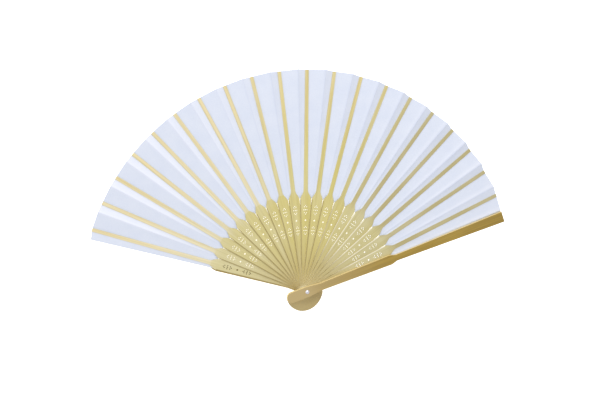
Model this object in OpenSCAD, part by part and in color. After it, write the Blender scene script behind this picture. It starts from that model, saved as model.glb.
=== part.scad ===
/* [Size] */
// Radius of the open leaf and the stick tips, from the rivet
leaf_r = 193; // [150:0.5:240]
// Radius where the leaf begins
leaf_inner_r = 81.2; // [81:0.1:90]
// Length of every stick past the rivet, on the handle side
head_len = 19; // [14:0.5:20]

/* [Opening] */
// Angle between neighbouring ribs when the fan is open
rib_pitch_deg = 7.25; // [5:0.05:7.5]
// Angle from the back guard to the first rib when the fan is open
first_gap_deg = 1.1; // [1:0.1:4]
// Angle from the last rib to the front guard when the fan is open
last_gap_deg = 6.0; // [5.5:0.1:7]

/* [Ribs] */
// Number of ribs between the two guards
rib_count = 20; // [12:1:20]
// Height from one rib to the next in the stack
stack_pitch = 0.75; // [0.75:0.05:1.4]
// Thickness of a rib between the head and the shoulder
rib_t = 0.7; // [0.6:0.01:0.72]
// Thickness of the thin strip of a rib that carries the leaf
slip_t = 0.4; // [0.3:0.02:0.4]
// Width of a rib at its shoulder
rib_w = 9.8; // [8:0.1:10.4]
// Width of a rib just above the head
rib_neck_w = 6.0; // [5:0.1:7]
// Radius of the shoulder, where a rib starts to narrow to its strip
shoulder_r = 80.4; // [76:0.1:80.4]
// Length over which the shoulder slopes down to the strip
shoulder_len = 8; // [4:0.5:10]
// Width of the strip at the shoulder
slip_w_in = 3.8; // [3.5:0.1:5]
// Width of the strip at the tip
slip_w_out = 3.0; // [2.8:0.1:4.5]
// Width of the rounded head around the rivet
head_w = 9.4; // [8:0.1:10]

/* [Punched pattern] */
// Radius of the middle of the outer flower
flower_out_r = 71.2; // [69:0.1:72]
// Radius of the single round hole
dot_r = 62; // [61:0.1:63]
// Radius of the middle of the inner flower
flower_in_r = 53; // [52:0.1:54]
// Number of petals in a flower
petals = 8; // [6:1:10]
// Diameter of a petal hole
petal_d = 0.9; // [0.5:0.05:1]
// Diameter of the single round hole
dot_d = 1.5; // [0.8:0.05:1.8]

/* [Guards] */
// Thickness of each guard
guard_t = 3.0; // [2.4:0.1:3.4]
// Width of a guard at its shoulder
guard_w = 8.8; // [8:0.1:10.4]
// Width of a guard just above the head
guard_neck_w = 6.6; // [5:0.1:8]
// Radius of the shoulder of a guard
guard_shoulder_r = 79.2; // [76:0.1:80.4]
// Width of a guard just past its shoulder
guard_in_w = 5.2; // [5:0.1:6]
// Width of a guard at its squared tip
guard_tip_w = 9.8; // [8:0.1:11]
// How much shorter the guards are than the ribs
guard_short = 1.5; // [0:0.1:3]

/* [Leaf] */
// Thickness of the paper
leaf_t = 0.1; // [0.06:0.01:0.14]
// Height of each ridge above its stick at the outer edge
ridge_h = 3.5; // [2:0.1:4]
// How far each ridge runs out past the stick tips, which gives the leaf its zigzag edge
ridge_over = 0.7; // [0:0.1:2]
// Height of the ridge beside the last rib, which lies lower so that the front guard closes over it
last_ridge_h = 2.4; // [1.5:0.1:2.4]
// Share of the angle between two ribs that the wide panel takes
wide_share = 0.66; // [0.55:0.01:0.68]

/* [Rivet] */
// Radius of the rivet's shank
pin_r = 1.25; // [1:0.05:1.5]
// Running clearance between the shank and every stick
pin_play = 0.05; // [0.02:0.01:0.1]
// Radius of the domed head
rivet_head_r = 1.75; // [1.6:0.05:2.2]
// Height of the domed head
rivet_head_h = 0.8; // [0.5:0.05:1]
// Radius of the washer under the clenched tail
washer_r = 2.7; // [2.4:0.1:3]

/* [Hidden] */
// Clear gap between two pieces that rest on each other
gap = 0.05;
// Height of the underside of the strip above the underside of its own stick
slip_z = 0.3;
// Height of the underside of the thin shoulders of a rib, which lie over the edge of the leaf
lip_z = 0.45;
// Height of the top of the leaf above the underside of a stick
leaf_z = 0.26;
// Height of a ridge at the inner edge, where the leaf is nearly flat under the shoulders
rise_in = 0.2;
guard_r = leaf_r - guard_short;
spread = first_gap_deg + (rib_count - 1) * rib_pitch_deg + last_gap_deg;
back_angle = 90 + spread / 2;
last = rib_count + 1;
stack_top = stick_z(last) + guard_t;
function pad(n) = n < 10 ? str("0", n) : str(n);
function rib_name(i) = str("rib_", pad(i));
function pleat_name(i) = str("leaf_pleat_", pad(i));

// Direction of a stick when the fan is open: 0 is the back guard, then the ribs, then the front guard
function stick_angle(i) =
    i == 0 ? back_angle :
    i == last ? back_angle - spread :
    back_angle - first_gap_deg - (i - 1) * rib_pitch_deg;

// Height of the underside of a stick, measured from the outer face of the back guard
function stick_z(i) = i == 0 ? 0 : guard_t + gap + (i - 1) * stack_pitch;

// Half the width of the strip of a rib, or of a guard, at radius r in the leaf
function slip_half(r) =
    (slip_w_in + (slip_w_out - slip_w_in) * (r - shoulder_r) / (leaf_r - shoulder_r)) / 2;
function guard_half(r) =
    (guard_in_w + (guard_tip_w - guard_in_w) * (r - guard_shoulder_r) / (guard_r - guard_shoulder_r)) / 2;

// A point beside a stick: r along it, side to the left of it, z up
function beside(angle, r, side, z) =
    [r * cos(angle) - side * sin(angle), r * sin(angle) + side * cos(angle), z];

module place_stick(i) {
    rotate([0, 0, stick_angle(i)])
        translate([0, 0, stick_z(i)])
            children();
}

// Outline of a stick from its rounded head to its shoulder, lying along +X
module gorge_outline(neck_w, shoulder_w, end_r) {
    head_c = head_len - head_w / 2;
    translate([-head_c, 0])
        circle(d = head_w, $fn = 64);
    polygon([
        [-head_c, -head_w / 2],
        [1, -head_w / 2],
        [13, -neck_w / 2],
        [end_r, -shoulder_w / 2],
        [end_r, shoulder_w / 2],
        [13, neck_w / 2],
        [1, head_w / 2],
        [-head_c, head_w / 2]
    ]);
}

// Half the width at a share t of the slope of the shoulders
function slope_half(t, w_in, w_out) = (w_out + (w_in - w_out) * (1 - t) * (1 - t) * (1 + 2 * t)) / 2;

// Outline of the sloping shoulders, from the full width down to the strip, lying along +X
module slope_outline(from_r, w_in, w_out) {
    steps = 10;
    left = [for (k = [0:steps]) [from_r + shoulder_len * k / steps, slope_half(k / steps, w_in, w_out)]];
    right = [for (k = [steps:-1:0]) [left[k][0], -left[k][1]]];
    polygon(concat([[from_r - 1, w_in / 2 - 0.5]], left, right, [[from_r - 1, 0.5 - w_in / 2]]));
}

// Outline of the straight strip past the shoulder, lying along +X
module strip_outline(from_r, to_r, w_in, w_out) {
    corner = 0.4;
    polygon([
        [from_r, -w_in / 2],
        [to_r - corner, -w_out / 2],
        [to_r, -w_out / 2 + corner],
        [to_r, w_out / 2 - corner],
        [to_r - corner, w_out / 2],
        [from_r, w_in / 2]
    ]);
}

module rivet_bore(h) {
    translate([0, 0, -1])
        cylinder(r = pin_r + pin_play, h = h + 2, $fn = 48);
}

// A ring of petal holes, longer along the stick than across it, around one hole in the middle
module flower(at_r, long, across) {
    for (k = [0:petals - 1])
        translate([at_r + long * cos(k * 360 / petals), across * sin(k * 360 / petals), -1])
            cylinder(d = petal_d, h = rib_t + 2, $fn = 16);
    translate([at_r, 0, -1])
        cylinder(d = petal_d * 1.1, h = rib_t + 2, $fn = 16);
}

module rib_shape() {
    difference() {
        union() {
            linear_extrude(rib_t)
                gorge_outline(rib_neck_w, rib_w, shoulder_r);
            translate([0, 0, lip_z])
                linear_extrude(rib_t - lip_z)
                    slope_outline(shoulder_r, rib_w, slip_w_in);
            translate([0, 0, slip_z])
                linear_extrude(slip_t)
                    strip_outline(shoulder_r - 3, leaf_r, slip_w_in, slip_w_out);
        }
        rivet_bore(rib_t);
        flower(flower_out_r, 3.7, 1.45);
        flower(flower_in_r, 3.5, 1.25);
        translate([dot_r, 0, -1])
            cylinder(d = dot_d, h = rib_t + 2, $fn = 24);
    }
}

// The back guard lies under everything, with a raised seat where the end of the leaf is glued on
module back_guard() {
    seat_t = 0.15;
    color([0.72, 0.60, 0.30])
        place_stick(0)
            difference() {
                union() {
                    linear_extrude(guard_t)
                        gorge_outline(guard_neck_w, guard_w, guard_shoulder_r);
                    linear_extrude(guard_t)
                        slope_outline(guard_shoulder_r, guard_w, guard_in_w);
                    linear_extrude(guard_t)
                        strip_outline(guard_shoulder_r - 3, guard_r, guard_in_w, guard_tip_w);
                    linear_extrude(guard_t + seat_t)
                        strip_outline(guard_shoulder_r + 2, guard_r, 2 * guard_half(guard_shoulder_r + 2), guard_tip_w);
                }
                rivet_bore(guard_t);
                translate([0, 0, -1])
                    cylinder(r = washer_r + 0.2, h = 1.95, $fn = 48);
            }
}

module rib(i) {
    color([0.86, 0.80, 0.57])
        place_stick(i)
            rib_shape();
}

// The front guard lies on top, cut away underneath where the other end of the leaf is glued
module front_guard() {
    color([0.70, 0.58, 0.26])
        place_stick(last)
            difference() {
                union() {
                    linear_extrude(guard_t)
                        gorge_outline(guard_neck_w, guard_w, guard_shoulder_r);
                    linear_extrude(guard_t)
                        slope_outline(guard_shoulder_r, guard_w, guard_in_w);
                    linear_extrude(guard_t)
                        strip_outline(guard_shoulder_r - 3, guard_r, guard_in_w, guard_tip_w);
                }
                rivet_bore(guard_t);
                translate([leaf_inner_r - 0.6, -guard_tip_w, -1])
                    cube([leaf_r, 2 * guard_tip_w, 1 + slip_z]);
            }
}

// Shank through the whole stack, domed on top and clenched flat in the recess of the back guard
module rivet_pin() {
    dome_r = (rivet_head_r * rivet_head_r + rivet_head_h * rivet_head_h) / (2 * rivet_head_h);
    head_z = stack_top + 0.03;
    color([0.85, 0.84, 0.90])
        union() {
            cylinder(r = pin_r, h = head_z + 0.1, $fn = 48);
            cylinder(r = pin_r + 0.6, h = 0.35, $fn = 48);
            intersection() {
                translate([0, 0, head_z + rivet_head_h - dome_r])
                    sphere(r = dome_r, $fn = 64);
                translate([0, 0, head_z])
                    cylinder(r = rivet_head_r + 1, h = rivet_head_h + 1, $fn = 48);
            }
        }
}

module rivet_washer() {
    color([0.80, 0.78, 0.74])
        translate([0, 0, 0.4])
            difference() {
                cylinder(r = washer_r, h = 0.5, $fn = 48);
                translate([0, 0, -1])
                    cylinder(r = pin_r + 0.04, h = 3, $fn = 48);
            }
}

// A thin folded sheet: columns is a list of lines, each with its inner and its outer point
module folded_sheet(columns) {
    n = len(columns);
    top = [for (c = columns) for (p = c) p];
    low = [for (p = top) [p[0], p[1], p[2] - leaf_t]];
    under = 2 * n;
    panels = [for (k = [0:n - 2]) 2 * k];
    faces = concat(
        [for (a = panels) [a, a + 1, a + 3]],
        [for (a = panels) [a, a + 3, a + 2]],
        [for (a = panels) [under + a, under + a + 3, under + a + 1]],
        [for (a = panels) [under + a, under + a + 2, under + a + 3]],
        [for (a = panels) [a, a + 2, under + a + 2]],
        [for (a = panels) [a, under + a + 2, under + a]],
        [for (a = panels) [a + 1, under + a + 3, a + 3]],
        [for (a = panels) [a + 1, under + a + 1, under + a + 3]],
        [[0, under, under + 1], [0, under + 1, 1]],
        [[under - 2, under - 1, under + under - 1], [under - 2, under + under - 1, under + under - 2]]
    );
    polyhedron(points = concat(top, low), faces = faces);
}

module leaf_colour() {
    color([0.93, 0.95, 0.99])
        children();
}

// One fold line beside stick i: how far to its left, and how far above the leaf's resting height
function fold_at(i, side_in, side_out, z_in, z_out) = [
    beside(stick_angle(i), leaf_inner_r, side_in, stick_z(i) + leaf_z + z_in),
    beside(stick_angle(i), i == last ? guard_r : leaf_r, side_out, stick_z(i) + leaf_z + z_out)
];

// The end of the leaf, glued flat on the back guard and running under the first rib
module first_pleat() {
    edge_in = guard_half(leaf_inner_r);
    edge_out = guard_half(guard_r);
    z = stick_z(1) + leaf_z;
    folded_sheet([
        [beside(back_angle, leaf_inner_r, edge_in, z), beside(back_angle, guard_r, edge_out, z)],
        fold_at(1, 0.06, 0.06, 0, 0)
    ]);
}

// From under one rib: a wide panel up to the ridge, then a narrow one down to the next rib
module middle_pleat(i) {
    from = i - 1;
    ridge = stick_angle(from) - wide_share * rib_pitch_deg;
    rise = i == rib_count ? last_ridge_h : ridge_h;
    z = stick_z(from) + leaf_z;
    folded_sheet([
        fold_at(from, -0.06, -0.06, 0, 0),
        fold_at(from, -slip_half(leaf_inner_r), -slip_half(leaf_r), 0, 0),
        [beside(ridge, leaf_inner_r, 0, z + rise_in), beside(ridge, leaf_r + ridge_over, 0, z + rise)],
        fold_at(i, slip_half(leaf_inner_r), slip_half(leaf_r), 0, 0),
        fold_at(i, 0.06, 0.06, 0, 0)
    ]);
}

// The last pleat rises to a ridge beside the front guard and ends flat under it
module last_pleat() {
    from = rib_count;
    side_in = guard_half(leaf_inner_r);
    side_out = guard_half(guard_r);
    folded_sheet([
        fold_at(from, -0.06, -0.06, 0, 0),
        fold_at(from, -slip_half(leaf_inner_r), -slip_half(leaf_r), 0, 0),
        fold_at(last, side_in + 0.9, side_out + 1.2, -0.6, 0.9),
        fold_at(last, side_in + 0.2, side_out + 0.2, 0, 0),
        fold_at(last, -side_in + 0.4, -side_out + 0.8, 0, 0)
    ]);
}

module leaf_pleat(i) {
    leaf_colour()
        if (i == 1)
            first_pleat();
        else if (i == last)
            last_pleat();
        else
            middle_pleat(i);
}

back_guard();
for (i = [1:rib_count])
    rib(i);
front_guard();
rivet_pin();
rivet_washer();
for (i = [1:last])
    leaf_pleat(i);
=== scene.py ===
"""Visual model of a folding hand fan: bamboo sticks on one rivet with a pleated paper leaf.

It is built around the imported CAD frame.
"""

import math

import bmesh
import bpy
import numpy as np
from mathutils import Matrix, Vector, noise

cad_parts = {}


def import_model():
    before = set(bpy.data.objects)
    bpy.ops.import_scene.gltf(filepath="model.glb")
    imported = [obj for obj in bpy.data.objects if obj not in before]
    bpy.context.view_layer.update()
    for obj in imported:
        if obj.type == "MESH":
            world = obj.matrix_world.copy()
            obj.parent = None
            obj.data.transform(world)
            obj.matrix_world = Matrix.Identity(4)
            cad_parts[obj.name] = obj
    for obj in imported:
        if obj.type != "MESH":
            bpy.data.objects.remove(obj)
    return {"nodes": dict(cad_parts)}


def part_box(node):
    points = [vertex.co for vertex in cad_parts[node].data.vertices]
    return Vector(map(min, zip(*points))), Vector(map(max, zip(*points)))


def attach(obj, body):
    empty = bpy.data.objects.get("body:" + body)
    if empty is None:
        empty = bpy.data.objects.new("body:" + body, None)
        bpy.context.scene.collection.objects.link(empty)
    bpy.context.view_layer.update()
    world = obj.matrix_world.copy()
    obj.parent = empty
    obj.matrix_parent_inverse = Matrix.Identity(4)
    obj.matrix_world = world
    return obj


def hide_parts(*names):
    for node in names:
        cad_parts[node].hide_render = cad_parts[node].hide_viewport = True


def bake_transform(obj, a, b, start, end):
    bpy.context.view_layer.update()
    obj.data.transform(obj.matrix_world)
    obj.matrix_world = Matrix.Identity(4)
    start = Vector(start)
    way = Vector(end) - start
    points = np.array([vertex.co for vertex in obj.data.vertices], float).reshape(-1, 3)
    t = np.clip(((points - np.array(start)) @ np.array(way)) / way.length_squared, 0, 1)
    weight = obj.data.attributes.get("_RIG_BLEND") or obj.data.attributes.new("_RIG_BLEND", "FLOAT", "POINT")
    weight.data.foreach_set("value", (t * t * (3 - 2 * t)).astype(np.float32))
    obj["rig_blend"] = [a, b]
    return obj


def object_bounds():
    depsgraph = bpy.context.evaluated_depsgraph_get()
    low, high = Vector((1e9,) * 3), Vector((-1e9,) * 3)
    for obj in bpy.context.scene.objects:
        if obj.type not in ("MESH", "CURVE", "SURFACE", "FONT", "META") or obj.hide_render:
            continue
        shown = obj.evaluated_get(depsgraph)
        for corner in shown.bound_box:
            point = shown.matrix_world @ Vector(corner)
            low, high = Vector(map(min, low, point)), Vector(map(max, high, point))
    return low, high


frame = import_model()
CAD_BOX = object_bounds()

MM = 0.001

# What the frame holds
RIBS = sorted(n for n in frame["nodes"] if n.startswith("rib_"))
STICKS = ["back_guard", *RIBS, "front_guard"]
PLEATS = sorted(n for n in frame["nodes"] if n.startswith("leaf_pleat_"))


# ---------------------------------------------------------------- the frame's own places

def points_of(node):
    """The corners of a CAD node, in the row frame."""
    mesh = frame["nodes"][node].data
    return np.array([v.co for v in mesh.vertices], float)


def direction_of(node):
    """The direction in which a stick points, from the corners at its tip."""
    points = points_of(node)
    reach = np.hypot(points[:, 0], points[:, 1])
    tip = points[reach > reach.max() - 0.3 * MM].mean(axis=0)
    return math.atan2(tip[1], tip[0])


ANGLE = {s: direction_of(s) for s in STICKS}
LEAF_REACH = np.hypot(*points_of(PLEATS[5])[:, :2].T)
LEAF_IN, RIDGE_OUT = LEAF_REACH.min(), LEAF_REACH.max()
LEAF_OUT = LEAF_REACH[LEAF_REACH > (LEAF_IN + RIDGE_OUT) / 2].min()
ALONG_GUARD = (math.cos(ANGLE["front_guard"]), math.sin(ANGLE["front_guard"]), 0)
GUARD_OUT = (points_of("front_guard") @ np.array(ALONG_GUARD)).max()

# Sizes that the frame doesn't give by itself
# Two places on a rib below its shoulder, each as (reach, half width)
GORGE_HALF = ((13 * MM, 3.0 * MM), (80.4 * MM, 4.9 * MM))
GORGE_END = 86 * MM
PATTERN_FROM, PATTERN_TO, PATTERN_HALF = 40 * MM, 78 * MM, 2.4 * MM
BORE_ZONE = 3.5 * MM
HELD_REACH = 42 * MM
PAPER_T = 0.10 * MM
STICK_PITCH = 0.75 * MM
# Where a ridge lies between two sticks, and how high it stands at the leaf's inner edge
WIDE_SHARE = 0.66
RISE_IN = 0.2 * MM
# Half the width of a strip, and of the paper on a guard, at the leaf's inner and outer edge
STRIP_HALF_IN, STRIP_HALF_OUT = 1.9 * MM, 1.5 * MM
GUARD_HALF_IN, GUARD_HALF_OUT = 2.64 * MM, 4.9 * MM
# The bend beside the front guard, at both edges: how far past that half width, and how far above the
# glued paper, it lies
BEND_IN, BEND_OUT = (0.9 * MM, -0.6 * MM), (1.2 * MM, 0.9 * MM)
# How far the paper under the front guard stands past that half width, and how far short of it it ends
# on the other side
GLUE_PAST = 0.2 * MM
GLUE_SHORT_IN, GLUE_SHORT_OUT = 0.4 * MM, 0.8 * MM
# How finely a pleat is divided: along the sticks, across a panel and across a strip
LEAF_ROWS, PANEL_STEPS, STRIP_STEPS = 30, 8, 3


# ---------------------------------------------------------------- materials

def linear(red, green, blue):
    """An 8-bit screen colour as the linear colour that shaders take."""
    out = []
    for c in (red, green, blue):
        c /= 255
        out.append(c / 12.92 if c <= 0.04045 else ((c + 0.055) / 1.055) ** 2.4)
    return (*out, 1.0)


FADED_TIP = linear(228, 208, 152)
# Painted shade on the walls of the punched holes.
HOLE_SHADE = linear(84, 66, 36)


class Nodes:
    """A short way to add shader nodes and link them."""

    def __init__(self, name):
        self.material = bpy.data.materials.new(name)
        self.material.use_nodes = True
        self.tree = self.material.node_tree
        self.shader = self.tree.nodes["Principled BSDF"]

    def add(self, kind, **settings):
        node = self.tree.nodes.new(kind)
        for key, value in settings.items():
            setattr(node, key, value)
        return node

    def link(self, output, target):
        self.tree.links.new(output, target)

    def mapped(self, source, scale, location=(0, 0, 0)):
        node = self.add("ShaderNodeMapping")
        node.inputs["Scale"].default_value = scale
        node.inputs["Location"].default_value = location
        self.link(source, node.inputs["Vector"])
        return node.outputs["Vector"]

    def noise(self, vector, detail=3.0, rough=0.55):
        """The scale is 1 here, since the mapping of the vector sets it."""
        node = self.add("ShaderNodeTexNoise")
        node.inputs["Scale"].default_value = 1.0
        node.inputs["Detail"].default_value = detail
        node.inputs["Roughness"].default_value = rough
        self.link(vector, node.inputs["Vector"])
        return node.outputs["Fac"]

    def ramp(self, value, low, high, low_out=0.0, high_out=1.0):
        node = self.add("ShaderNodeMapRange")
        for key, number in (
            ("From Min", low),
            ("From Max", high),
            ("To Min", low_out),
            ("To Max", high_out),
        ):
            node.inputs[key].default_value = number
        self.link(value, node.inputs["Value"])
        return node.outputs["Result"]

    def mix(self, factor, a, b):
        """a and b are colours or the outputs of other nodes."""
        node = self.add("ShaderNodeMix", data_type="RGBA")
        if isinstance(factor, (int, float)):
            node.inputs["Factor"].default_value = factor
        else:
            self.link(factor, node.inputs["Factor"])
        for socket, value in ((node.inputs[6], a), (node.inputs[7], b)):
            if isinstance(value, tuple):
                socket.default_value = value
            else:
                self.link(value, socket)
        return node.outputs[2]

    def math(self, operation, a, b=0.0):
        node = self.add("ShaderNodeMath", operation=operation)
        for socket, value in ((node.inputs[0], a), (node.inputs[1], b)):
            if isinstance(value, (int, float)):
                socket.default_value = value
            else:
                self.link(value, socket)
        return node.outputs[0]

    def attribute(self, name):
        node = self.add("ShaderNodeAttribute", attribute_name=name)
        return node.outputs["Fac"]

    def bump(self, height, strength, distance):
        node = self.add("ShaderNodeBump")
        node.inputs["Strength"].default_value = strength
        node.inputs["Distance"].default_value = distance
        self.link(height, node.inputs["Height"])
        self.link(node.outputs["Normal"], self.shader.inputs["Normal"])


def along_rib(n):
    """What the place on a rib says, as four factors.

    A thin line along its left edge, between head and shoulder, where the material paints a shadow, which
    turns into a painted highlight out towards the shoulder of a deep stick; how far out towards the shoulder
    a point lies; whether it is on the strip, past the shoulder; and how near the tip it is.
    """
    place = n.add("ShaderNodeSeparateXYZ")
    n.link(n.add("ShaderNodeAttribute", attribute_name="place").outputs["Vector"], place.inputs[0])
    reach = place.outputs["X"]
    (r0, half0), (r1, half1) = GORGE_HALF
    inward = n.math("SUBTRACT", n.ramp(reach, r0, r1, half0, half1), place.outputs["Y"])
    on_edge = n.ramp(inward, 0.95 * MM, 0.55 * MM)
    past_head = n.ramp(reach, 10 * MM, 24 * MM, 0.0, 0.8)
    below_shoulder = n.ramp(reach, r1, r1 + 0.2 * MM, 1.0, 0.0)
    line = n.math("MULTIPLY", n.math("MULTIPLY", on_edge, past_head), below_shoulder)
    outward = n.ramp(reach, 26 * MM, 48 * MM)
    under_leaf = n.ramp(reach, 80 * MM, 90 * MM)
    towards_tip = n.ramp(reach, 110 * MM, 180 * MM)
    return line, outward, under_leaf, towards_tip


def bamboo(
    name, light, middle, deep, dark, side, held, rough, coat, mottle=0.4, lines=None, strips=None,
):
    """Split bamboo: fine straight fibres along the stick, broad soft streaks and a few dark threads.

    side is the colour of the cut sides, and held the darker colour of the head, where hands touch it.
    Only ribs have lines and strips: the colours of the line along the left edge, a painted shadow and a
    painted highlight, and those of the strip in the leaf, each for a light and for a deep stick, where the
    deep strip is a painted shadow of the ridges. The UV runs in metres along and across the stick.
    The attribute tone takes each stick from light over middle to deep.
    """
    n = Nodes(name)
    uv = n.add("ShaderNodeTexCoord").outputs["UV"]
    fibres = n.noise(n.mapped(uv, (60, 5200, 1)), 4.0, 0.6)
    streaks = n.noise(n.mapped(uv, (9, 620, 1), (3.1, 7.7, 0)), 2.0)
    patches = n.noise(n.mapped(uv, (28, 90, 1), (11.3, 2.9, 0)), 3.0)
    threads = n.noise(n.mapped(uv, (16, 3300, 1), (5.9, 1.3, 0)), 2.0)
    tone = n.attribute("tone")
    body = n.mix(n.ramp(tone, 0.5, 1.0), n.mix(n.ramp(tone, 0.0, 0.5), light, middle), deep)
    if strips:
        line, outward, under_leaf, towards_tip = along_rib(n)
        pale_strip, ridge_shadow_strip = strips
        is_pale = n.math("MULTIPLY", n.ramp(tone, 0.4, 0.15, 0.0, 0.85), under_leaf)
        body = n.mix(is_pale, body, pale_strip)
        # Painted shadow of the ridges on the strips of the deep ribs.
        in_ridge_shadow = n.math("MULTIPLY", n.ramp(tone, 0.55, 0.85, 0.0, 0.8), under_leaf)
        body = n.mix(in_ridge_shadow, body, ridge_shadow_strip)
        faded = n.math("MULTIPLY", n.ramp(tone, 0.8, 0.5, 0.0, 0.6), towards_tip)
        body = n.mix(faded, body, FADED_TIP)
    body = n.mix(n.ramp(streaks, 0.4, 0.75, 0.0, mottle), body, dark)
    body = n.mix(n.ramp(fibres, 0.4, 0.8, 0.0, 0.3), body, dark)
    body = n.mix(n.ramp(threads, 0.62, 0.72, 0.0, 0.5), body, dark)
    body = n.mix(n.ramp(patches, 0.45, 0.75, 0.0, 0.3), body, light)
    body = n.mix(n.attribute("held"), body, held)
    if lines:
        # Painted shadow along the left edge, which turns into a painted highlight out towards the shoulder
        # of a deep rib.
        pale = n.math("MULTIPLY", n.ramp(tone, 0.5, 0.85), outward)
        body = n.mix(line, body, n.mix(pale, *lines))
        # Painted shade on the walls of the punched holes.
        body = n.mix(n.attribute("punched"), body, HOLE_SHADE)
    n.link(n.mix(n.attribute("edge"), body, side), n.shader.inputs["Base Color"])
    n.link(n.ramp(fibres, 0.3, 0.8, rough - 0.06, rough + 0.12), n.shader.inputs["Roughness"])
    n.bump(n.math("ADD", fibres, n.math("MULTIPLY", streaks, 0.6)), 0.35, 0.00012)
    n.shader.inputs["Coat Weight"].default_value = coat
    n.shader.inputs["Coat Roughness"].default_value = 0.3
    return n.material


def paper():
    """Matt white paper: cloudy pulp, short fibres, painted shade along the folds.

    It has a painted highlight where the attribute lit says so, and has a shade where the strips are glued.
    """
    n = Nodes("leaf_paper")
    uv = n.add("ShaderNodeTexCoord").outputs["UV"]
    cloud = n.noise(n.mapped(uv, (70, 70, 1)), 3.0)
    pulp = n.noise(n.mapped(uv, (900, 650, 1)), 4.0, 0.65)
    fibre = n.noise(n.mapped(uv, (2600, 420, 1), (1.7, 0.3, 0)), 2.0)
    white = n.mix(n.ramp(cloud, 0.35, 0.7), linear(216, 221, 234), linear(211, 217, 232))
    white = n.mix(n.ramp(pulp, 0.4, 0.75, 0.0, 0.35), white, linear(203, 210, 227))
    white = n.mix(n.ramp(fibre, 0.62, 0.75, 0.0, 0.3), white, linear(225, 228, 236))
    # Painted highlight on the paper, where the attribute lit says so.
    white = n.mix(n.math("MULTIPLY", n.attribute("painted_light"), 0.75), white, linear(232, 234, 244))
    # Painted shade along the folds.
    white = n.mix(n.math("MULTIPLY", n.attribute("fold_shade"), 0.3), white, linear(190, 198, 219))
    white = n.mix(n.math("MULTIPLY", n.attribute("glued"), 0.35), white, linear(205, 205, 198))
    n.link(white, n.shader.inputs["Base Color"])
    n.link(n.ramp(pulp, 0.3, 0.8, 0.78, 0.92), n.shader.inputs["Roughness"])
    n.bump(n.math("ADD", pulp, n.math("MULTIPLY", cloud, 0.8)), 0.25, 0.0001)
    n.shader.inputs["Specular IOR Level"].default_value = 0.3
    return n.material


def metal(name, colour, rough):
    """Plated steel with fine turning marks around the rivet's axis and a few duller spots."""
    n = Nodes(name)
    place = n.add("ShaderNodeTexCoord").outputs["Object"]
    spots = n.noise(n.mapped(place, (900, 900, 900)), 3.0)
    rings = n.add("ShaderNodeTexWave", wave_type="RINGS", rings_direction="Z")
    rings.inputs["Scale"].default_value = 2600
    rings.inputs["Distortion"].default_value = 0.6
    n.link(place, rings.inputs["Vector"])
    plated = n.mix(n.ramp(spots, 0.4, 0.7, 0.0, 0.4), colour, linear(176, 172, 176))
    n.link(plated, n.shader.inputs["Base Color"])
    n.link(n.ramp(spots, 0.35, 0.7, rough, rough + 0.2), n.shader.inputs["Roughness"])
    n.bump(rings.outputs["Fac"], 0.08, 0.00003)
    n.shader.inputs["Metallic"].default_value = 1.0
    return n.material


RIB_BAMBOO = bamboo(
    "rib_bamboo",
    light=linear(218, 212, 184),
    middle=linear(210, 197, 120),
    deep=linear(199, 191, 144),
    dark=linear(166, 149, 84),
    side=linear(232, 222, 184),
    held=linear(184, 164, 112),
    rough=0.42,
    coat=0.1,
    # The painted shadow and the painted highlight along the left edge.
    lines=(linear(146, 128, 68), linear(241, 235, 214)),
    # The strip colours: pale for a light stick, and a painted shadow of the ridges for a deep one.
    strips=(linear(235, 223, 186), linear(176, 164, 120)),
)
GUARD_BAMBOO = bamboo(
    "guard_bamboo",
    light=linear(184, 156, 68),
    middle=linear(165, 135, 46),
    deep=linear(159, 128, 40),
    dark=linear(118, 94, 30),
    side=linear(242, 219, 158),
    held=linear(184, 162, 112),
    rough=0.36,
    coat=0.1,
    mottle=0.75,
)
PAPER = paper()
RIVET_STEEL = metal("rivet_steel", linear(232, 230, 240), 0.16)
WASHER_STEEL = metal("washer_steel", linear(214, 210, 208), 0.3)


# ---------------------------------------------------------------- helpers for objects

def new_object(name, data):
    obj = bpy.data.objects.new(name, data)
    bpy.context.collection.objects.link(obj)
    return obj


def set_floats(mesh, name, values):
    """Gives each vertex a number, which the materials read by its name."""
    layer = mesh.attributes.new(name, "FLOAT", "POINT")
    layer.data.foreach_set("value", np.array(values, np.float32))


# ---------------------------------------------------------------- sticks

def soften(bm, offset, wanted=lambda edge: True):
    """Rounds the sharp edges that are wanted."""
    sharp = [
        e for e in bm.edges
        if len(e.link_faces) == 2 and e.calc_face_angle(0) > math.radians(50) and wanted(e)
    ]
    bmesh.ops.bevel(
        bm, geom=sharp, offset=offset, segments=2, profile=0.6, affect="EDGES", clamp_overlap=True,
    )


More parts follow.
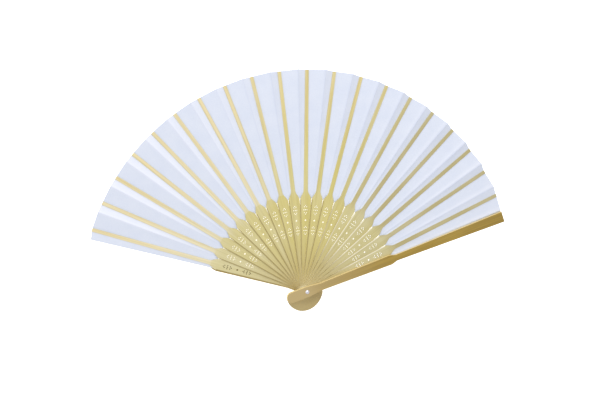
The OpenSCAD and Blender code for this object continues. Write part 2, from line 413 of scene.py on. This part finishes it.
def stick_piece(node, material, rim_round, tone, outward=1):
    """A stick with softened edges, made from its CAD shape, with UV in metres along and across it.

    The outline of its outer face is rounded more: outward is 1 if that is the top, and -1 if it is the
    underside.
    """
    index = STICKS.index(node)
    turn = Matrix.Rotation(-ANGLE[node], 4, "Z")
    bm = bmesh.new()
    bm.from_mesh(frame["nodes"][node].data)
    bmesh.ops.remove_doubles(bm, verts=bm.verts, dist=1e-7)
    flat = math.radians(1)
    bmesh.ops.dissolve_limit(bm, angle_limit=flat, verts=bm.verts, edges=bm.edges)
    outer = max(outward * v.co.z for v in bm.verts)

    def on_rim(edge):
        middle = turn @ ((edge.verts[0].co + edge.verts[1].co) / 2)
        in_pattern = abs(middle.y) < PATTERN_HALF and PATTERN_FROM < middle.x < PATTERN_TO
        in_bore = math.hypot(middle.x, middle.y) < BORE_ZONE
        on_face = all(outward * v.co.z > outer - 0.001 * MM for v in edge.verts)
        return on_face and not in_pattern and not in_bore

    soften(bm, rim_round, on_rim)
    soften(bm, 0.06 * MM)
    bmesh.ops.triangulate(bm, faces=[f for f in bm.faces if len(f.verts) > 4])
    uv = bm.loops.layers.uv.new("UVMap")
    for face in bm.faces:
        for loop in face.loops:
            local = turn @ loop.vert.co
            across = local.y + (local.z if abs(face.normal.z) < 0.7 else 0)
            loop[uv].uv = (local.x + 0.41 * index, across + 0.057 * index)
    mesh = bpy.data.meshes.new(node + "_stick")
    bm.to_mesh(mesh)
    bm.free()
    normals = np.array([v.normal for v in mesh.vertices], float)
    place = np.array([turn @ v.co for v in mesh.vertices], float)
    reach = place[:, 0]
    steep = 1 - np.abs(normals[:, 2])
    punched = (np.abs(place[:, 1]) < PATTERN_HALF) & (reach > PATTERN_FROM) & (reach < PATTERN_TO)
    deeper = np.where(reach < GORGE_END, 0.18 * (tone < 0.4), 0)
    places = mesh.attributes.new("place", "FLOAT_VECTOR", "POINT")
    places.data.foreach_set("vector", place.astype(np.float32).ravel())
    for key, values in (
        ("tone", tone + deeper),
        ("edge", np.where(punched, 0, steep)),
        ("punched", punched & (steep > 0.1)),
        ("held", np.clip(0.95 - reach / HELD_REACH, 0, 0.95)),
    ):
        set_floats(mesh, key, values)
    mesh.materials.append(material)
    piece = new_object(node + "_stick", mesh)
    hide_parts(node)
    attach(piece, node)


def tone_at(index):
    """Sticks differ a little: pale on the left of the open fan, yellow in the middle, olive on the right."""
    across = (index - 0.5) / len(RIBS)
    tone = np.interp(across, (0, 0.4, 0.5, 0.65, 0.75, 1), (0.08, 0.25, 0.5, 0.5, 0.85, 0.95))
    return float(np.clip(tone + 0.03 * math.sin(index * 2.4) + 0.02 * math.sin(index * 5.1), 0, 1))


for rib in RIBS:
    stick_piece(rib, RIB_BAMBOO, 0.22 * MM, tone_at(STICKS.index(rib)))
stick_piece("back_guard", GUARD_BAMBOO, 0.5 * MM, 0.5, outward=-1)
stick_piece("front_guard", GUARD_BAMBOO, 0.5 * MM, 0.6)

for node, material in (("rivet_pin", RIVET_STEEL), ("rivet_washer", WASHER_STEEL)):
    for material_slot in frame["nodes"][node].material_slots:
        material_slot.material = material


# ---------------------------------------------------------------- leaf

def beside(angle, r, side, z):
    """A point r along a direction and side to its left."""
    return Vector((
        r * math.cos(angle) - side * math.sin(angle),
        r * math.sin(angle) + side * math.cos(angle),
        z,
    ))


def between(a, b, share):
    return a + (b - a) * share


def strip_half(share):
    return between(STRIP_HALF_IN, STRIP_HALF_OUT, share)


def guard_half(share):
    return between(GUARD_HALF_IN, GUARD_HALF_OUT, share)


def folds_of(index):
    """The fold lines of a pleat.

    Each is (direction, side at the inner edge, side at the outer edge, z in, z out, weight, reach).
    """
    low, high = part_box(PLEATS[index])
    before, after = STICKS[index], STICKS[index + 1]
    a, b = ANGLE[before], ANGLE[after]
    z_a = low[2] + PAPER_T
    rise = high[2] - z_a
    lower = min(index, len(PLEATS) - 2)
    upper = min(index + 1, len(PLEATS) - 1)
    z_b = z_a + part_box(PLEATS[upper])[0][2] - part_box(PLEATS[lower])[0][2]
    touch = 0.03 * MM
    r = LEAF_OUT
    if index == 0:
        return [
            (a, guard_half(0), guard_half(1), z_a, z_a, 0, GUARD_OUT),
            (b, -touch, -touch, z_a, z_a, 1, r),
        ]
    start = [
        (a, touch, touch, z_a, z_a, 0, r),
        (a, -strip_half(0), -strip_half(1), z_a, z_a, 0, r),
    ]
    if after == "front_guard":
        z_b = z_a + STICK_PITCH
        side_in, side_out = guard_half(0), guard_half(1)
        bend_in, bend_out = side_in + BEND_IN[0], side_out + BEND_OUT[0]
        return start + [
            (b, bend_in, bend_out, z_b + BEND_IN[1], z_b + BEND_OUT[1], 1, GUARD_OUT),
            (b, side_in + GLUE_PAST, side_out + GLUE_PAST, z_b, z_b, 1, GUARD_OUT),
            (b, GLUE_SHORT_IN - side_in, GLUE_SHORT_OUT - side_out, z_b, z_b, 1, GUARD_OUT),
        ]
    ridge = a + (b - a) * WIDE_SHARE
    return start + [
        (ridge, 0, 0, z_a + RISE_IN, z_a + rise, 1, RIDGE_OUT),
        (b, strip_half(0), strip_half(1), z_b, z_b, 1, r),
        (b, -touch, -touch, z_b, z_b, 1, r),
    ]


def point_on(fold, share):
    """The point on a fold line at a share of its way from the inner to the outer edge."""
    direction, side_in, side_out, z_in, z_out, _, reach = fold
    r = between(LEAF_IN, reach, share)
    return beside(direction, r, between(side_in, side_out, share), between(z_in, z_out, share))


def painted_light_on(index, k, t):
    """The painted highlight on the paper: how much paler it is on narrow panels on the left, and in a band
    along each ridge on the right.
    """
    if index == 0 or k not in (1, 2):
        return 0.0
    direction = math.degrees(ANGLE[STICKS[index + 1]])
    if k == 2:
        return float(np.interp(direction, (95, 135), (0, 1))) * (1 - 0.5 * t)
    return float(np.interp(direction, (30, 75), (1, 0))) * max(0.0, 1 - (1 - t) * 3)


def columns_of(folds):
    """Where each row has its vertices: (panel, share of its width, whether it is a wide one)."""
    columns = []
    for k in range(len(folds) - 1):
        wide = abs(folds[k + 1][0] - folds[k][0]) > math.radians(0.5)
        steps = PANEL_STEPS if wide else STRIP_STEPS
        last = k == len(folds) - 2
        columns += [(k, j / steps, wide) for j in range(steps + last)]
    return columns


def sheet_faces(n_col):
    """The faces of a thin closed sheet: its upper vertices come first, row by row, then the lower."""
    n_top = (LEAF_ROWS + 1) * n_col
    faces = []
    for row in range(LEAF_ROWS):
        for c in range(n_col - 1):
            a = row * n_col + c
            b, d = a + 1, a + n_col
            e = d + 1
            faces += [(a, d, e, b), (a + n_top, b + n_top, e + n_top, d + n_top)]
    for row in range(LEAF_ROWS):
        a, d = row * n_col, (row + 1) * n_col
        faces.append((a, a + n_top, d + n_top, d))
        a, d = a + n_col - 1, d + n_col - 1
        faces.append((a, d, d + n_top, a + n_top))
    for c in range(n_col - 1):
        faces.append((c, c + 1, c + 1 + n_top, c + n_top))
        a = LEAF_ROWS * n_col + c
        faces.append((a, a + n_top, a + 1 + n_top, a + 1))
    return faces


def pleat_piece(index):
    """One pleat of the leaf: a thin sheet with crisp folds and a slight wave in each panel."""
    folds = folds_of(index)
    columns = columns_of(folds)
    top, sides, fold_shade, painted_light, glued, weight = [], [], [], [], [], []
    for row in range(LEAF_ROWS + 1):
        share = row / LEAF_ROWS
        previous, run = None, 0.0
        for k, t, wide in columns:
            ends = [point_on(fold, share) for fold in (folds[k], folds[k + 1])]
            p = ends[0].lerp(ends[1], t)
            bulge = math.sin(math.pi * t) if wide and index else 0
            wave = noise.noise(Vector((p.x * 38, p.y * 38, index * 3.7))) * 0.35
            p.z += bulge * (wave - 0.15) * MM
            run += (p - previous).length if previous is not None else 0.0
            previous = p
            top.append(p)
            sides.append((run, between(LEAF_IN, LEAF_OUT, share)))
            # Painted shade along the folds.
            fold_shade.append(max(0.0, 1 - min(t, 1 - t) * 9) if wide else 0.0)
            # Painted highlight from painted_light_on.
            painted_light.append(painted_light_on(index, k, t) * min(1.0, share * 1.8))
            glued.append(1.0 if not wide and k in (0, len(folds) - 2) else 0.0)
            w0, w1 = folds[k][5], folds[k + 1][5]
            weight.append(between(w0, w1, t))
    n_col = len(columns)
    verts = top + [p - Vector((0, 0, PAPER_T)) for p in top]
    name = PLEATS[index]
    mesh = bpy.data.meshes.new(name + "_paper")
    mesh.from_pydata(verts, [], sheet_faces(n_col))
    mesh.validate()
    uv = mesh.uv_layers.new(name="UVMap")
    both = sides + [(x + 0.5, y) for x, y in sides]
    for loop in mesh.loops:
        x, y = both[loop.vertex_index]
        uv.data[loop.index].uv = (x + 0.113 * index, y)
    for key, values in (("fold_shade", fold_shade), ("painted_light", painted_light), ("glued", glued)):
        set_floats(mesh, key, values + values)
    for polygon in mesh.polygons:
        polygon.use_smooth = True
    mesh.set_sharp_from_angle(angle=math.radians(9))
    mesh.materials.append(PAPER)
    piece = new_object(name + "_paper", mesh)
    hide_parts(name)
    a, b = STICKS[index], STICKS[index + 1]
    middle = between(LEAF_IN, LEAF_OUT, 0.5)
    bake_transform(piece, a, b, beside(ANGLE[a], middle, 0, 0), beside(ANGLE[b], middle, 0, 0))
    # Each fold's own weight replaces it here, so that the glued parts stay on their sticks.
    layer = mesh.attributes["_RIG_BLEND"]
    layer.data.foreach_set("value", np.array(weight + weight, np.float32))


for index in range(len(PLEATS)):
    pleat_piece(index)


# ---------------------------------------------------------------- stage, light and camera

def floor():
    """A plain white floor that glows a little, so that the gaps between the ribs stay white."""
    n = Nodes("floor_white")
    place = n.add("ShaderNodeTexCoord").outputs["Object"]
    tone = n.noise(n.mapped(place, (6, 6, 6)), 2.0)
    n.link(n.mix(tone, linear(250, 250, 250), linear(252, 252, 252)), n.shader.inputs["Base Color"])
    n.shader.inputs["Emission Color"].default_value = (1, 1, 1, 1)
    n.shader.inputs["Emission Strength"].default_value = 0.7
    n.shader.inputs["Roughness"].default_value = 0.9
    n.shader.inputs["Specular IOR Level"].default_value = 0.1
    bm = bmesh.new()
    bmesh.ops.create_grid(bm, x_segments=4, y_segments=4, size=3)
    mesh = bpy.data.meshes.new("floor")
    bm.to_mesh(mesh)
    bm.free()
    mesh.materials.append(n.material)
    obj = new_object("floor", mesh)
    obj.location = (0, 0, CAD_BOX[0][2] - 0.2 * MM)


def area_light(name, place, target, size, power):
    light = bpy.data.lights.new(name, "AREA")
    light.shape = "DISK"
    light.size = size
    light.energy = power
    obj = new_object(name, light)
    obj.location = place
    obj.rotation_euler = (Vector(target) - Vector(place)).to_track_quat("-Z", "Y").to_euler()


def world(strength):
    w = bpy.data.worlds.new("soft_white")
    w.use_nodes = True
    background = w.node_tree.nodes["Background"]
    background.inputs["Color"].default_value = (1, 1, 1, 1)
    background.inputs["Strength"].default_value = strength
    bpy.context.scene.world = w


def camera():
    azimuth, elevation, roll = math.radians(148.3), math.radians(73.9), math.radians(-0.75)
    distance = 1.10
    target = Vector((-0.0005, 0.0784, 0.0))
    away = Vector((
        math.cos(elevation) * math.cos(azimuth),
        math.cos(elevation) * math.sin(azimuth),
        math.sin(elevation),
    ))
    forward = -away
    right = forward.cross(Vector((0, 1, 0))).normalized()
    up = right.cross(forward)
    turn = Matrix((right, up, away)).transposed().to_4x4()
    data = bpy.data.cameras.new("photo_view")
    data.lens = 75
    data.sensor_width = 36
    obj = new_object("photo_view", data)
    about_rivet = Matrix.Rotation(math.radians(0.15), 4, "Z")
    placed = Matrix.Translation(target + away * distance) @ turn @ Matrix.Rotation(roll, 4, "Z")
    obj.matrix_world = about_rivet @ placed
    bpy.context.scene.camera = obj


floor()
world(0.82)
area_light("key_top", (-0.1, 0.97, 0.88), (0, 0.09, 0), 0.7, 5.6)
area_light("fill_left", (-0.55, 0.1, 0.35), (-0.12, 0.09, 0), 0.4, 0.38)
camera()
bpy.context.scene.view_settings.view_transform = "Standard"
